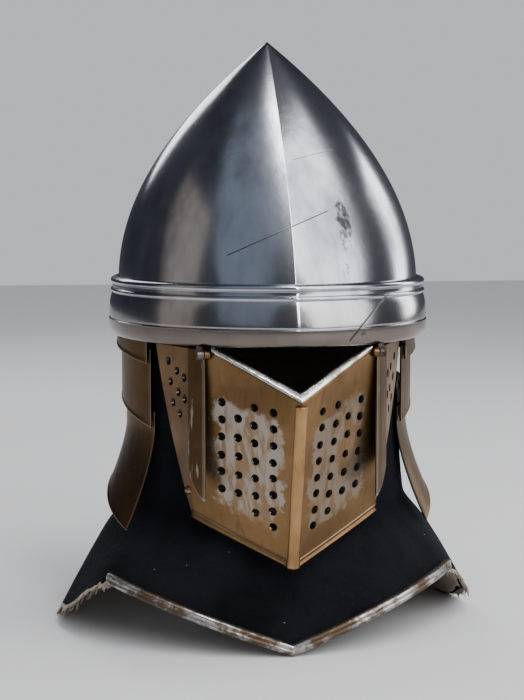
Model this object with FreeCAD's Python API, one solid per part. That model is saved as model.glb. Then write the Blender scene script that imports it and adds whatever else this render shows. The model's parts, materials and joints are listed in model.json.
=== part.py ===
import FreeCAD, Part
import math
import os

V = FreeCAD.Vector
os.makedirs("parts", exist_ok=True)

# Knight's helmet. +X is the viewer's right, the face looks along -Y, +Z is up.
# Millimetres. The origin is on the table, under the middle of the helmet.

# Driving dimensions
BROW_Z = 217.0          # lower edge of the brow band
SPRING_Z = BROW_Z + 35  # where the skull starts to close in
APEX_Z = 424.3
CROWN_Y = -7.5          # the apex and the middle of the skull
SKULL_HALF = 108.8      # half width of the skull at the brow
SKULL_FRONT = 115.5     # reach of the front keel from the crown line
SKULL_BACK = 118.0
STEEL = 2.0             # skull sheet
PLATE = 1.8             # lames and straps
FACE_DEPTH = 3.0        # face plate measured front to back, about 2.3 across the sheet
FRONT_CREASE = 0.11     # slope of the plan beside the front keel
BACK_CREASE = 0.03

RIDGE_TOP = V(0, -146.0, BROW_Z - 38.6)
RIDGE_FOOT = V(0, -115.6, BROW_Z - 156.1)
RIM_END_X = 55.6
RIM_RISE = 0.572        # slope of the sight's lower edge
CHIN_RISE = 0.472       # slope of the face plate's lower edge
WEDGE_EDGE_X = 67.0
FACE_TOP_Z = BROW_Z - 5.5
LEAN = (RIDGE_FOOT.y - RIDGE_TOP.y) / (RIDGE_TOP.z - RIDGE_FOOT.z)

BREATH_R = 3.0
# columns of breaths: x at the top, x at the foot, height of the top one, of the last one, count
BREATH_COLUMNS = [
    (16.8, 14.0, 171.7, 90.6, 8),
    (28.4, 24.7, 174.3, 99.9, 7),
    (37.7, 36.0, 165.7, 112.9, 5),
    (47.7, 46.5, 176.5, 115.5, 6),
]
# side breaths: share of the wall from its rear edge to the corner, top one, pitch, count
SIDE_COLUMNS = [(0.34, 201.0, 14.2, 3), (0.60, 195.0, 14.6, 3), (0.84, 191.0, 15.0, 2)]

STRAP_FRONT = (59.0, -108.5)
STRAP_REAR = (69.0, -96.5)
STRAP_TOP_Z = BROW_Z - 5.5
STRAP_REAR_Z = BROW_Z - 89.0
STRAP_TIP_Z = BROW_Z - 108.6

HINGE_Y = -109.5
HINGE_Z = BROW_Z - 9.0
KNUCKLE_R = 3.0
PIN_R = 1.5
RUNNING = 0.05
KNUCKLE_X = (56.0, 60.0)
EYE_X = (60.3, 64.3)

EAR_FRONT_DEG = 57.5
EAR_BACK_DEG = 98.0
EAR_HALF = 110.5
EAR_DEPTH = 88.0
LAME_GAP = 1.4
EAR_RIVET_DEG = (EAR_FRONT_DEG + 6.75, EAR_FRONT_DEG + 33.75)

HEM_HALF = 155.0
HEM_LIFT = 2.5          # the lining's hem ends above the cloth's
TRIM = 1.0              # the back hem is made this much too long, then cut level
HEM_FRONT = 113.5
HEM_BACK = 147.6
RIM_R = 4.2
RIM_END_DEG = 52.0
CLOTH = 4.0
LINING = 1.4


def save(name, shape):
    shape.exportStep("parts/%s.step" % name)
    box = shape.BoundBox
    print("%-24s solids %2d  volume %9.0f  z %.1f to %.1f" % (
        name, len(shape.Solids), shape.Volume, box.ZMin, box.ZMax))


def mirrored(shape):
    return shape.mirror(V(0, 0, 0), V(1, 0, 0))


def fused(shapes):
    whole = shapes[0]
    for shape in shapes[1:]:
        whole = whole.fuse(shape)
    return whole


def outward_solid(shape):
    """A loft can come out inside out. This turns it the right way."""
    if shape.Volume < 0:
        shape.reverse()
    return shape


def rod(start, end, radius):
    return Part.makeCylinder(radius, (end - start).Length, start, end - start)


def smooth(share):
    share = min(1.0, max(0.0, share))
    return share * share * (3 - 2 * share)


# ---- Skull and brow band: rings of four curves with a crease in front and behind

def ring(half, front, back, z):
    def quarter(side, reach, sign, crease):
        start = V(0, CROWN_Y + sign * reach, z)
        near = V(side * 0.52 * half, CROWN_Y + sign * (reach - 0.52 * half * crease), z)
        far = V(side * half, CROWN_Y + sign * 0.60 * reach, z)
        end = V(side * half, CROWN_Y, z)
        return [start, near, far, end]

    poles = [
        quarter(1, front, -1, FRONT_CREASE),
        quarter(1, back, 1, BACK_CREASE)[::-1],
        quarter(-1, back, 1, BACK_CREASE),
        quarter(-1, front, -1, FRONT_CREASE)[::-1],
    ]
    edges = []
    for four in poles:
        curve = Part.BezierCurve()
        curve.setPoles(four)
        edges.append(curve.toShape())
    return Part.Wire(edges)


def skull_reach(z):
    t = max(0.0, (z - SPRING_Z) / (APEX_Z - SPRING_Z))
    return (
        SKULL_HALF * (1 - t ** 2.0),
        SKULL_FRONT * (1 - t ** 1.42),
        SKULL_BACK * (1 - t ** 1.75),
    )


def dome(inset, foot_z, drop):
    levels = [foot_z, foot_z + 12, SPRING_Z, 275, 300, 325, 350, 372, 392, 408]
    wires = []
    for z in levels:
        half, front, back = skull_reach(z)
        shrink = inset * (1 + 0.5 * (z > SPRING_Z) * (z - SPRING_Z) / (APEX_Z - SPRING_Z))
        wires.append(ring(half - shrink, front - shrink, back - shrink, z))
    tip = Part.Vertex(V(0, CROWN_Y, APEX_Z - drop))
    return Part.makeLoft(wires + [tip], True, False)


SKULL_FOOT_Z = BROW_Z + 6
skull_outside = dome(0.0, SKULL_FOOT_Z, 0.0)
skull_inside = dome(STEEL, SKULL_FOOT_Z - 0.0, 4.5)
skull = skull_outside.cut(skull_inside)
save("skull", skull)

# height above the band's edge, how far it stands off the skull at the side, and in front
BAND_PROFILE = [
    (-3.4, 2.4, 6.6), (-1.2, 5.4, 9.6), (2.8, 6.8, 11.0), (8.9, 7.3, 11.2),
    (9.6, 6.5, 10.3), (20.0, 6.7, 8.8), (27.0, 4.8, 6.4), (29.0, 5.8, 7.2),
    (31.0, 4.6, 5.8), (33.6, 4.4, 5.2), (35.2, 5.6, 6.2), (37.0, 5.4, 5.9),
    (38.4, 3.4, 3.8), (38.8, 1.2, 1.2),
]


def band_ring(height, side, nose):
    back_off = side + 0.6
    return ring(SKULL_HALF + side, SKULL_FRONT + nose, SKULL_BACK + back_off, BROW_Z + height)


band_outside = Part.makeLoft([band_ring(*row) for row in BAND_PROFILE], True, True)
BAND_SHEET = 2.0
HOLLOW_TOP = 27.0
SKULL_GAP = 0.45         # the band clears the skull above the hollow
hollow = [(h, s - BAND_SHEET, n - BAND_SHEET) for h, s, n in BAND_PROFILE if h <= HOLLOW_TOP]
hollow[0] = (-3.5, hollow[0][1], hollow[0][2])
hollow += [(HOLLOW_TOP + 2.0, SKULL_GAP, SKULL_GAP), (39.0, SKULL_GAP, SKULL_GAP)]
band_inside = Part.makeLoft([band_ring(*row) for row in hollow], True, True)
brow_band = band_outside.cut(band_inside)
save("brow_band", brow_band)


# ---- Face plate: two leaning panels that meet in a prow, and two side walls

def wedge_slope(z):
    return 0.643 + 0.134 * (z - 90.4) / 121.2


def wedge_y(x, z):
    return RIDGE_TOP.y + LEAN * (RIDGE_TOP.z - z) + wedge_slope(z) * abs(x)


def wall_rear(z):
    up = z - 92.0
    return (64.3 + 0.265 * up - 0.00062 * up * up, -80.5 + 0.17 * up)


def wall_front(z):
    corner_x = WEDGE_EDGE_X - 3.0 * smooth((125.0 - z) / 33.0)
    corner = (corner_x, wedge_y(corner_x, z))
    share = smooth((150.0 - z) / 38.0)
    top = (STRAP_REAR[0] - 0.5, STRAP_REAR[1] + 0.4)
    return tuple(a + (b - a) * share for a, b in zip(top, corner))


def wedge_panel():
    wires = []
    for x, low, high in [
        (0.0, RIDGE_FOOT.z, RIDGE_TOP.z),
        (RIM_END_X, RIDGE_FOOT.z + CHIN_RISE * RIM_END_X, RIDGE_TOP.z + RIM_RISE * RIM_END_X),
        (WEDGE_EDGE_X - 3.0, RIDGE_FOOT.z + CHIN_RISE * 64.0 + 2.0, FACE_TOP_Z),
    ]:
        corners = [V(x, wedge_y(x, z) + back, z) for z, back in
                   [(low, 0), (high, 0), (high, FACE_DEPTH), (low, FACE_DEPTH)]]
        wires.append(Part.makePolygon(corners + corners[:1]))
    return Part.makeLoft(wires, True, True)


def side_wall():
    wires = []
    for z in [93.0, 102, 112, 122, 135, 150, 170, 190, FACE_TOP_Z]:
        rear, front = wall_rear(z), wall_front(z)
        along = V(front[0] - rear[0], front[1] - rear[1], 0)
        inward = V(along.y, -along.x, 0).normalize() * PLATE
        if inward.x > 0:
            inward = inward * -1
        corners = [V(rear[0], rear[1], z), V(front[0], front[1], z)]
        corners += [corners[1] + inward, corners[0] + inward]
        wires.append(Part.makePolygon(corners + corners[:1]))
    return Part.makeLoft(wires, True, True)


def breath_cutters():
    cutters = []
    for x_top, x_foot, z_top, z_foot, count in BREATH_COLUMNS:
        for i in range(count):
            share = i / (count - 1)
            x, z = x_top + (x_foot - x_top) * share, z_top + (z_foot - z_top) * share
            middle = V(x, wedge_y(x, z), z)
            inward = V(-wedge_slope(z), 1, LEAN).normalize()
            cutters.append(rod(middle - inward * 6, middle + inward * 8, BREATH_R))
    for share, z_top, pitch, count in SIDE_COLUMNS:
        for i in range(count):
            z = z_top - pitch * i
            rear, front = wall_rear(z), wall_front(z)
            middle = V(rear[0] + (front[0] - rear[0]) * share,
                       rear[1] + (front[1] - rear[1]) * share, z)
            outward = V(0.9, -0.437, 0)
            cutters.append(rod(middle - outward * 5, middle + outward * 5, BREATH_R))
    return cutters


half_face = fused([wedge_panel(), side_wall()])
half_face = half_face.cut(Part.makeCompound(breath_cutters()))
hinge_gap = Part.makeBox(EYE_X[1] - EYE_X[0] + 1.0, 20, 20,
                         V(EYE_X[0] - 0.5, HINGE_Y - 5, HINGE_Z - 4.5))
knuckle_gap = rod(V(KNUCKLE_X[0] - 0.3, HINGE_Y, HINGE_Z), V(EYE_X[1] + 0.5, HINGE_Y, HINGE_Z),
                  KNUCKLE_R + 0.2)
half_face = half_face.cut(fused([hinge_gap, knuckle_gap]))
nose_rib = rod(V(0, RIDGE_TOP.y + 1.6, RIDGE_TOP.z - 1), V(0, RIDGE_FOOT.y + 1.6, RIDGE_FOOT.z + 1), 3.2)
face_plate = fused([half_face, mirrored(half_face), nose_rib]).removeSplitter()


# ---- Sight rim: a rolled steel edge along the V of the sight
def sight_half():
    wires = []
    for x, reach in [(0.0, 4.6), (RIM_END_X * 0.5, 3.6), (RIM_END_X, 2.6)]:
        z = RIDGE_TOP.z + RIM_RISE * x
        y = wedge_y(x, z)
        middle = V(x, y + 1.4 + 0.75 * reach, z + 0.75 * reach)
        back_up = V(0, 0.78, 0.62) * reach
        thick = V(0, -0.62, 0.78) * 2.0
        corners = [middle - back_up - thick, middle + back_up - thick,
                   middle + back_up + thick, middle - back_up + thick]
        wires.append(Part.makePolygon(corners + corners[:1]))
    return Part.makeLoft(wires, True, True)


sight_rim = fused([sight_half(), mirrored(sight_half())]).cut(face_plate)
sight_rim = max(sight_rim.Solids, key=lambda solid: solid.Volume)

# ---- Corner straps: upright strips that stand off the leaning panels and carry the hinge
strap_axis = V(STRAP_REAR[0] - STRAP_FRONT[0], STRAP_REAR[1] - STRAP_FRONT[1], 0)
strap_inward = V(-strap_axis.y, strap_axis.x, 0).normalize() * PLATE


def corner_strap():
    front, rear = V(STRAP_FRONT[0], STRAP_FRONT[1], 0), V(STRAP_REAR[0], STRAP_REAR[1], 0)
    front_top, rear_top = front + V(0, 0, STRAP_TOP_Z), rear + V(0, 0, STRAP_TOP_Z)
    rear_foot, tip = rear + V(0, 0, STRAP_REAR_Z), front + V(0, 0, STRAP_TIP_Z)
    bulge = front * 0.43 + rear * 0.57 + V(0, 0, BROW_Z - 102.0)
    outline = Part.Wire([
        Part.LineSegment(front_top, rear_top).toShape(),
        Part.LineSegment(rear_top, rear_foot).toShape(),
        Part.Arc(rear_foot, bulge, tip).toShape(),
        Part.LineSegment(tip, front_top).toShape(),
    ])
    strip = Part.Face(outline).extrude(strap_inward)
    strip = strip.cut(hinge_gap).cut(face_plate)
    strip = max(strip.Solids, key=lambda solid: solid.Volume)
    knuckle = rod(V(KNUCKLE_X[0], HINGE_Y, HINGE_Z), V(KNUCKLE_X[1], HINGE_Y, HINGE_Z), KNUCKLE_R)
    lug = Part.makeBox(KNUCKLE_X[1] - 58.0, 3.4, 5.0, V(58.0, HINGE_Y - 0.4, HINGE_Z - 7.0))
    strap = fused([strip, knuckle, lug])
    bore = rod(V(KNUCKLE_X[0] - 1, HINGE_Y, HINGE_Z), V(KNUCKLE_X[1] + 1, HINGE_Y, HINGE_Z),
               PIN_R + RUNNING)
    return strap.cut(bore).cut(face_plate)


strap_right = corner_strap()
sight_rim = sight_rim.cut(fused([strap_right, mirrored(strap_right)]))
for shift in (V(0, 0, 0), V(0, 0, -0.5), V(0, 0.5, 0), V(0, 0.4, -0.4)):
    near_band = brow_band.copy()
    near_band.translate(shift)
    sight_rim = sight_rim.cut(near_band)
sight_rim = max(sight_rim.Solids, key=lambda solid: solid.Volume)
save("face_plate", face_plate)
save("sight_rim", sight_rim)
save("corner_strap_right", strap_right)
save("corner_strap_left", mirrored(strap_right))


# ---- Visor hinge: a bracket inside the band on each side, and its pin
def hinge_bracket():
    eye = rod(V(EYE_X[0], HINGE_Y, HINGE_Z), V(EYE_X[1], HINGE_Y, HINGE_Z), KNUCKLE_R)
    arm = Part.makeBox(EYE_X[1] - EYE_X[0], 3.6, 32.0, V(EYE_X[0], HINGE_Y + 2.4, HINGE_Z))
    root = Part.makeBox(EYE_X[1] - EYE_X[0], 4.0, 3.0, V(EYE_X[0], HINGE_Y, HINGE_Z))
    bracket = fused([arm, root, eye]).cut(skull_outside).cut(band_outside.cut(band_inside))
    bracket = max(bracket.Solids, key=lambda solid: solid.Volume)
    bore = rod(V(EYE_X[0] - 1, HINGE_Y, HINGE_Z), V(EYE_X[1] + 1, HINGE_Y, HINGE_Z), PIN_R)
    return bracket.cut(bore)


hinge_pin = rod(V(KNUCKLE_X[0] - 0.2, HINGE_Y, HINGE_Z), V(EYE_X[1], HINGE_Y, HINGE_Z), PIN_R)
bracket_right = hinge_bracket()
for side, shape in [("right", bracket_right), ("left", mirrored(bracket_right))]:
    save("hinge_bracket_" + side, shape)
save("hinge_pin_right", hinge_pin)
save("hinge_pin_left", mirrored(hinge_pin))


def strap_rivet():
    z = 111.5
    rear, front = wall_rear(z), wall_front(z)
    middle = V(rear[0] * 0.45 + front[0] * 0.55, rear[1] * 0.45 + front[1] * 0.55, z)
    outward = V(0.9, -0.437, 0)
    head = Part.makeSphere(3.2, middle - outward * 0.6)
    return head.cut(face_plate).cut(strap_right)


rivet = max(strap_rivet().Solids, key=lambda solid: solid.BoundBox.XMax)
save("strap_rivets", Part.makeCompound([rivet, mirrored(rivet)]))


# ---- Ear lames: three overlapping plates below the band on each side
def ear_flare(z):
    return 15.0 * (max(0.0, 150.0 - z) / 50.0) ** 1.5


def ear_point(degrees, z, offset):
    """A point on an ear plate. Flare and thickness both run mostly sideways, so a section is flat."""
    turn = math.radians(degrees)
    out = ear_flare(z) + offset
    return V((EAR_HALF + out) * math.sin(turn),
             CROWN_Y - (EAR_DEPTH + 0.5 * out) * math.cos(turn), z)


def lame(offset, top_edge, foot_edge, steps):
    """A curved plate between two edges, each given by its height in front and at the side."""
    wires = []
    for i in range(7):
        degrees = EAR_FRONT_DEG + (EAR_BACK_DEG - EAR_FRONT_DEG) * i / 6
        share = (degrees - EAR_FRONT_DEG) / (90 - EAR_FRONT_DEG)
        top = top_edge[0] + (top_edge[1] - top_edge[0]) * share
        foot = foot_edge[0] + (foot_edge[1] - foot_edge[0]) * share
        heights = [foot + (top - foot) * k / steps for k in range(steps + 1)]
        outer = [ear_point(degrees, z, offset) for z in heights]
        inner = [ear_point(degrees, z, offset - PLATE) for z in reversed(heights)]
        wires.append(Part.makePolygon(outer + inner + outer[:1]))
    return Part.makeLoft(wires, True, True)


EAR_LAMES = {
    "upper": (0.0, (212.4, 212.4), (196.5, 205.5), 1),
    "middle": (-(PLATE + LAME_GAP), (206.5, 211.8), (151.0, 166.0), 2),
    "lower": (-2 * (PLATE + LAME_GAP), (162.0, 177.0), (79.5, 101.0), 6),
}
EAR_RIVET_Z = {"upper": (202.6, 208.9), "middle": (158.2, 171.8)}   # front rivet, rear rivet


def ear_rivets(lame_name):
    """Two rivets that hang the next lame from this one, headed on the inside."""
    offset = EAR_LAMES[lame_name][0]
    rivets = []
    for degrees, height in zip(EAR_RIVET_DEG, EAR_RIVET_Z[lame_name]):
        start = ear_point(degrees, height, offset - PLATE + 0.4)
        outward = V(start.x, start.y - CROWN_Y, 0).normalize()
        head_at = start - outward * (PLATE + 2 * LAME_GAP + 0.4)
        shank = rod(start, head_at, 1.6)
        washer = rod(head_at, head_at - outward, 3.4)
        hole = rod(start - outward * 0.8, head_at, 2.6)
        rivets.append((shank.fuse(washer), hole))
    return rivets


ear_shapes = {name: outward_solid(lame(*row)) for name, row in EAR_LAMES.items()}
ear_rivet_shapes = {}
for above, below in [("upper", "middle"), ("middle", "lower")]:
    pairs = ear_rivets(above)
    holes = Part.makeCompound([hole for shank, hole in pairs])
    ear_shapes[below] = ear_shapes[below].cut(holes)
    shanks = Part.makeCompound([shank for shank, hole in pairs]).cut(ear_shapes[above])
    ear_rivet_shapes[above] = shanks
for name, shape in ear_shapes.items():
    save("ear_%s_right" % name, shape)
    save("ear_%s_left" % name, mirrored(shape))
for name, shape in ear_rivet_shapes.items():
    save("ear_rivets_%s_right" % name, shape)
    save("ear_rivets_%s_left" % name, mirrored(shape))


# ---- Collar: a stiff felted cloth, its lining, and the rolled steel rim of its front hem
def hem_height(degrees):
    if degrees <= RIM_END_DEG:
        return 56.0 * math.sin(math.radians(degrees))
    corner = 56.0 * math.sin(math.radians(RIM_END_DEG))
    if degrees <= 80.0:
        return corner + (17.0 - corner) * smooth((degrees - RIM_END_DEG) / 28.0)
    return 17.0 * (1 - smooth((degrees - 80.0) / 22.0))


def hem_point(degrees):
    turn = math.radians(degrees)
    reach = HEM_FRONT if degrees <= 90 else HEM_BACK
    return V(HEM_HALF * math.sin(turn), -reach * math.cos(turn), hem_height(degrees))


def collar_profile(degrees, inset):
    """Points from the neck edge down to the hem, at one direction round the collar."""
    turn = math.radians(degrees)
    s, c = math.sin(turn), math.cos(turn)
    open_share = smooth((degrees - 36.0) / 26.0)
    top_z = 90.0 + 119.0 * open_share
    neck_half, neck_front = 96.0, 92.0 if c > 0 else 101.0
    waist_half, waist_front = 104.0, 80.0 if c > 0 else 106.0
    hem = hem_point(degrees) - V(0, 0, TRIM * smooth((degrees - 90.0) / 12.0))
    points = []
    for share in (0.0, 0.3, 0.6, 0.85, 1.0):
        z = top_z + (92.0 - top_z) * share
        blend = ((209.0 - z) / 117.0) ** 2
        half = neck_half + (waist_half - neck_half) * blend - inset
        front = neck_front + (waist_front - neck_front) * blend - inset
        points.append(V(half * s, -6.0 - front * c, z))
    waist = points[-1]
    if open_share < 0.02:
        points = points[:1] + [points[0] + V(0, -0.01 * k, -0.5 * k) for k in (1, 2, 3, 4)]
        waist = points[-1]
    for share in (0.25, 0.5, 0.75, 1.0):
        z = waist.z + (hem.z - waist.z) * share
        spread = share ** 0.8
        x = waist.x + (hem.x - inset * s - waist.x) * spread
        y = waist.y + (hem.y + inset * c - waist.y) * spread
        points.append(V(x, y, z))
    return points


def collar_shell(inset, thick, lift, step):
    wires = []
    for degrees in range(0, 181, step):
        outer, inner = collar_profile(degrees, inset), collar_profile(degrees, inset + thick)
        for line in (outer, inner):
            rise = line[-2].z - line[-1].z
            line[-1] = line[-1] + (line[-2] - line[-1]) * (lift / rise)
        wires.append(Part.makePolygon(outer + inner[::-1] + outer[:1]))
    return outward_solid(Part.makeLoft(wires, True, True))


def rim_path(degrees):
    return hem_point(degrees) + V(0, 0, RIM_R)


def rim_half():
    """A twelve-sided tube along the hem, from the middle of the front to its end."""
    stations, sides = 13, 12
    wires = []
    for i in range(stations):
        degrees = RIM_END_DEG * i / (stations - 1)
        here, ahead = rim_path(degrees), rim_path(degrees + 1.0)
        along = V(1, 0, 0) if i == 0 else (ahead - here).normalize()
        out = V(0, 0, 1).cross(along).normalize()
        up = along.cross(out)
        corners = []
        for k in range(sides):
            turn = 2 * math.pi * (k + 0.5) / sides
            corners.append(here + (out * math.cos(turn) + up * math.sin(turn)) * RIM_R)
        wires.append(Part.makePolygon(corners + corners[:1]))
    return outward_solid(Part.makeLoft(wires, True, True))


rim_right = rim_half()
collar_rim = fused([rim_right, mirrored(rim_right)])
cloth_right = collar_shell(0.0, CLOTH, 0.0, 9)
below_table = Part.makeBox(400.0, 400.0, 10.0, V(-200.0, -200.0, -10.0))
collar_cloth = fused([cloth_right, mirrored(cloth_right)]).cut(below_table).cut(collar_rim)
lining_right = collar_shell(CLOTH, LINING, HEM_LIFT, 9)
collar_lining = fused([lining_right, mirrored(lining_right)]).cut(collar_rim)


# ---- Collar hanger: a leather strip from the skull's edge down to the cloth's top, with its studs
def inner_ring(inset, z):
    return ring(SKULL_HALF - inset, SKULL_FRONT - inset, SKULL_BACK - inset, z)


def inner_hoop(thick, low, low_inset, high, high_inset):
    outer = Part.makeLoft([inner_ring(low_inset, low), inner_ring(high_inset, high)], True, True)
    inner = Part.makeLoft([inner_ring(low_inset + thick, low), inner_ring(high_inset + thick, high)],
                          True, True)
    return outer.cut(inner)


def largest(shape):
    return max(shape.Solids, key=lambda solid: solid.Volume)


HANGER = 2.2
HANGER_LOW = (203.0, 10.2)      # height and distance inside the skull's outline
HANGER_HIGH = (238.0, STEEL + 0.3)
STUD_R = 3.4
STUD_Z = 222.0
face_gap = Part.makeBox(260.0, 136.0, 60.0, V(-130.0, -170.0, 190.0))
collar_hanger = largest(inner_hoop(HANGER, *HANGER_LOW, *HANGER_HIGH).cut(face_gap))
collar_cloth = largest(collar_cloth.cut(collar_hanger))
collar_lining = largest(collar_lining.cut(collar_hanger))


def hanger_studs():
    """Eight-sided studs on the strip's inner face, eleven round the back and sides."""
    share = (STUD_Z - HANGER_LOW[0]) / (HANGER_HIGH[0] - HANGER_LOW[0])
    inset = HANGER_LOW[1] + (HANGER_HIGH[1] - HANGER_LOW[1]) * share + HANGER
    outline = inner_ring(inset, STUD_Z)
    studs = []
    for k in range(-5, 6):
        turn = math.radians(180 + 19.0 * k)
        toward = V(math.sin(turn), -math.cos(turn), 0)
        ray = Part.LineSegment(V(0, CROWN_Y, STUD_Z), V(0, CROWN_Y, STUD_Z) + toward * 160).toShape()
        seat = outline.distToShape(ray)[1][0][0]
        across, up = toward.cross(V(0, 0, 1)).normalize(), V(0, 0, 1)
        wires = []
        for depth, radius in [(-0.3, STUD_R), (1.2, STUD_R), (2.3, STUD_R * 0.55)]:
            corners = []
            for i in range(8):
                spin = math.pi / 4 * (i + 0.5)
                corners.append(seat - toward * depth
                               + (across * math.cos(spin) + up * math.sin(spin)) * radius)
            wires.append(Part.makePolygon(corners + corners[:1]))
        studs.append(outward_solid(Part.makeLoft(wires, True, True)).cut(collar_hanger))
    return [largest(stud) for stud in studs]


save("collar_rim", collar_rim)
save("collar_cloth", collar_cloth)
save("collar_lining", collar_lining)
save("hanger_studs", Part.makeCompound(hanger_studs()))

# ---- Padding: a quilted dome and a leather band round the brow
LINER = 9.0
LINER_FOOT_Z = 262.0
LINER_GAP = 3.2
SWEATBAND = 2.4


def liner_shell(inset, drop):
    wires = []
    for z in [LINER_FOOT_Z, 275, 292, 310, 328, 346, 362]:
        half, front, back = skull_reach(z)
        shrink = inset * (1 + 0.45 * (z - SPRING_Z) / (APEX_Z - SPRING_Z))
        level = z - drop * (z > LINER_FOOT_Z)
        wires.append(ring(half - shrink, front - shrink, back - shrink, level))
    return Part.makeLoft(wires, True, False)


liner_outside = liner_shell(STEEL + LINER_GAP, 0.0)
liner_inside = liner_shell(STEEL + LINER_GAP + LINER, LINER)
liner = largest(liner_outside.cut(liner_inside))
sweatband = inner_hoop(SWEATBAND, 241.0, STEEL + 1.0, 261.5, STEEL + 3.0)
save("liner", liner)
save("sweatband", sweatband)

# ---- Chin strap: it runs down the right cheek, under the chin and up to a buckle on the left
STRAP_Y = (-18.0, -1.0)
STRAP_THICK = 2.2
STRAP_TOP = (88.0, 240.0)
BUCKLE_X = -69.0
BUCKLE_Z = (124.0, 147.0)       # lower bar and upper bar
BUCKLE_Y = (-22.0, 3.0)
BAR_R = 1.5
LONG_STRAP = [STRAP_TOP, (80, 200), (73, 165), (66, 130), (46, 97), (0, 84), (-46, 96),
              (-61, 118), (-64.4, 140), (-64.4, 168)]
SHORT_STRAP = [(-STRAP_TOP[0], STRAP_TOP[1]), (-80, 200), (-73.5, 168), (BUCKLE_X - 1.1, 149.5)]


def flat_strap(line, side):
    """A strap of even thickness along a line seen from the front, to one side of it."""
    points = [V(x, STRAP_Y[0], z) for x, z in line]
    shifted = []
    for i, point in enumerate(points):
        along = points[min(i + 1, len(points) - 1)] - points[max(i - 1, 0)]
        across = V(along.z, 0, -along.x).normalize() * STRAP_THICK * side
        shifted.append(point + across)
    curves = []
    for row in (points, shifted[::-1]):
        curve = Part.BSplineCurve()
        curve.interpolate(row)
        curves.append(curve.toShape())
    ends = [Part.LineSegment(points[-1], shifted[-1]).toShape(),
            Part.LineSegment(shifted[0], points[0]).toShape()]
    face = Part.Face(Part.Wire([curves[0], ends[0], curves[1], ends[1]]))
    return outward_solid(face.extrude(V(0, STRAP_Y[1] - STRAP_Y[0], 0)))


def bar(x, z, y_from, y_to, radius):
    return rod(V(x, y_from, z), V(x, y_to, z), radius)


middle_y = (STRAP_Y[0] + STRAP_Y[1]) / 2
upper_bar, lower_bar = BUCKLE_Z[1], BUCKLE_Z[0]
frame_bars = [bar(BUCKLE_X, z, BUCKLE_Y[0], BUCKLE_Y[1], BAR_R) for z in BUCKLE_Z]
frame_bars += [rod(V(BUCKLE_X, y, lower_bar), V(BUCKLE_X, y, upper_bar), BAR_R) for y in BUCKLE_Y]
frame_bars += [Part.makeSphere(BAR_R, V(BUCKLE_X, y, z)) for y in BUCKLE_Y for z in BUCKLE_Z]
buckle_frame = fused(frame_bars)

eye_y = (middle_y - 1.8, middle_y + 1.8)
tongue = rod(V(BUCKLE_X + 0.4, middle_y, upper_bar - 2.2), V(BUCKLE_X + 5.6, middle_y, 126.5), 1.1)
buckle_tongue = bar(BUCKLE_X, upper_bar, *eye_y, 2.8).fuse(tongue)
buckle_tongue = buckle_tongue.cut(bar(BUCKLE_X, upper_bar, eye_y[0] - 1, eye_y[1] + 1, BAR_R + RUNNING))

loops = [bar(BUCKLE_X, upper_bar, STRAP_Y[0], eye_y[0] - 0.6, 3.8),
         bar(BUCKLE_X, upper_bar, eye_y[1] + 0.6, STRAP_Y[1], 3.8)]
short_strap = fused([flat_strap(SHORT_STRAP, 1)] + loops)
short_strap = short_strap.cut(bar(BUCKLE_X, upper_bar, eye_y[0] - 0.6, eye_y[1] + 0.6, 4.2))
short_strap = largest(short_strap.cut(bar(BUCKLE_X, upper_bar, -30, 10, BAR_R)))
long_strap = flat_strap(LONG_STRAP, 1)
tongue_slot = Part.makeBox(14.0, 4.4, 17.0, V(BUCKLE_X, middle_y - 2.2, 123.5))
long_strap = long_strap.cut(tongue_slot).cut(buckle_frame)
KEEPER_Z = (156.0, 162.0)
keeper_outer = Part.makeBox(11.6, 22.0, KEEPER_Z[1] - KEEPER_Z[0], V(-76.4, middle_y - 11.0, KEEPER_Z[0]))
keeper_inner = Part.makeBox(9.0, 18.4, 10.0, V(-75.1, middle_y - 9.2, KEEPER_Z[0] - 2))
strap_keeper = keeper_outer.cut(keeper_inner).cut(fused([short_strap, long_strap]))


def strap_mount(side, strap):
    """A rivet that holds the strap's top off the skull's wall."""
    height = STRAP_TOP[1] - 12.0
    rivet_rod = rod(V(side * 84.0, middle_y, height), V(side * SKULL_HALF, middle_y, height), 2.4)
    outer_end = largest(rivet_rod.cut(strap).cut(skull))
    return outer_end


mounts = []
for side, strap in [(1, long_strap), (-1, short_strap)]:
    mounts.append(strap_mount(side, strap))
strap_mounts = Part.makeCompound(mounts)
save("chin_strap_long", long_strap)
save("chin_strap_short", short_strap)
save("buckle_frame", buckle_frame)
save("buckle_tongue", buckle_tongue)
save("strap_keeper", strap_keeper)
save("strap_mounts", strap_mounts)
save("collar_hanger", largest(collar_hanger.cut(strap_mounts)))
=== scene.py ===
# %% [markdown]
# # A knight's helmet, finished for display
# The steel skull, its brow band, the hinged face plate, the ear lames and the felt collar
# already exist as a plain working model, made to size. This lesson gives each of them the
# surface that a smith and a seamstress would leave: rolled edges, punched breaths, frayed
# linen and worn metal. We load the working model first, because every piece must fit it.

# %% Load the working model
import json
import math
import random

import bmesh
import bpy
from mathutils import Matrix, Vector, noise


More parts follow.
